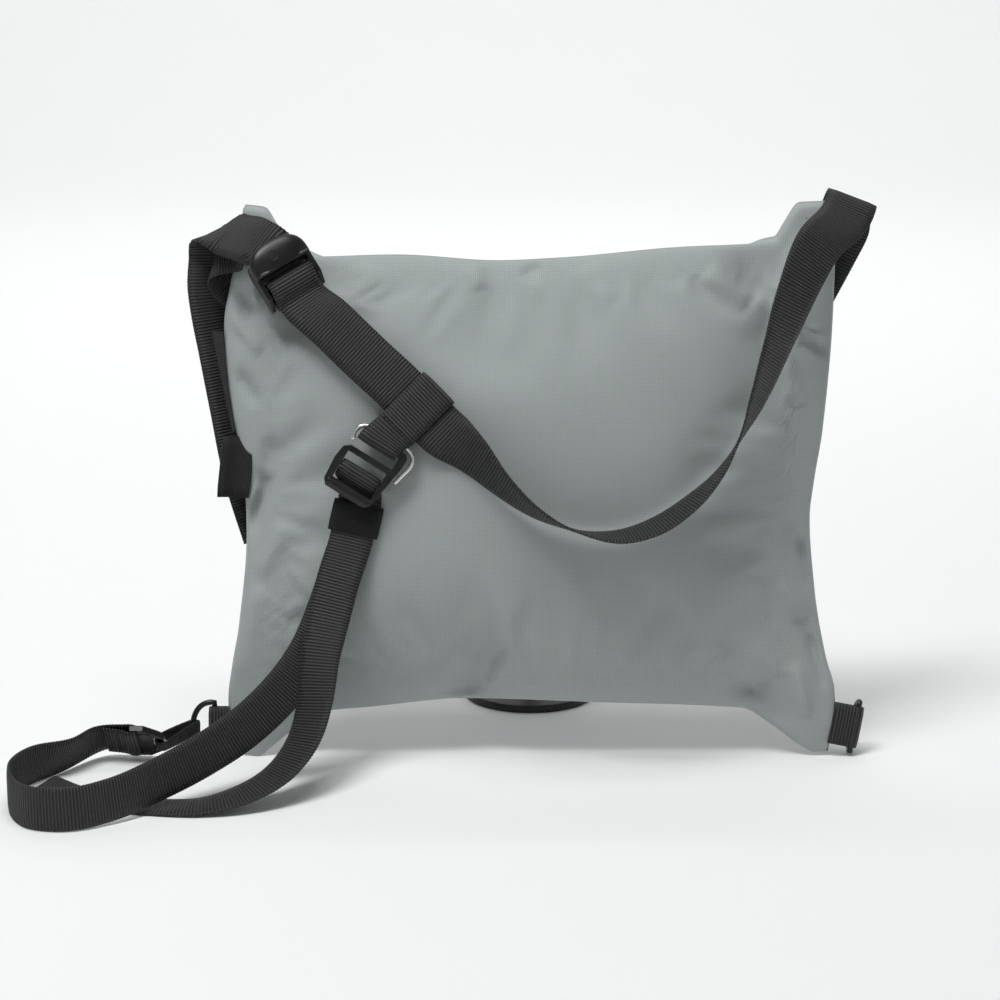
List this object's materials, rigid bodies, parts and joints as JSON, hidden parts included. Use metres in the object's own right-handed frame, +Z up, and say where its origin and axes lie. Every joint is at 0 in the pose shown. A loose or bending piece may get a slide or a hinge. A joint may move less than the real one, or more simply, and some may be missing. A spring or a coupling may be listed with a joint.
{
  "type": "musette bag on display stand",
  "caption": "Padded grey musette bag with webbing shoulder strap, ladder buckle, wire-gated hook and stabiliser strap, standing open against a round-footed display stand.",
  "frame": {"origin": "middle of the whole thing's box, on the floor it stands on", "axes": "+X along the bag's width, -Y the way the wearer's panel faces, +Z up"},
  "size_m": [0.499, 0.2988, 0.3345],
  "materials": {
    "grey_cloth": "matt",
    "black_webbing": "matt",
    "black_elastic": "matt",
    "black_moulding": "satin",
    "bright_wire": "satin",
    "black_steel": "satin"
  },
  "bodies": {
    "root": {"bag_body": "grey_cloth", "main_strap": "black_webbing", "adjuster_strap": "black_webbing", "keeper_tab": "black_webbing", "stabiliser_strap": "black_webbing", "stabiliser_tail": "black_webbing", "elastic_sleeve": "black_elastic", "link_webbing": "black_webbing", "left_tab": "black_webbing", "right_tab": "black_webbing", "side_tab": "black_webbing", "edge_tape": "black_webbing", "buckle": "black_moulding", "g_hook": "black_moulding", "small_hook": "black_moulding", "left_ring": "black_moulding", "right_ring": "black_moulding", "wire_gate": "bright_wire", "display_stand": "black_steel"}
  },
  "joints": []
}
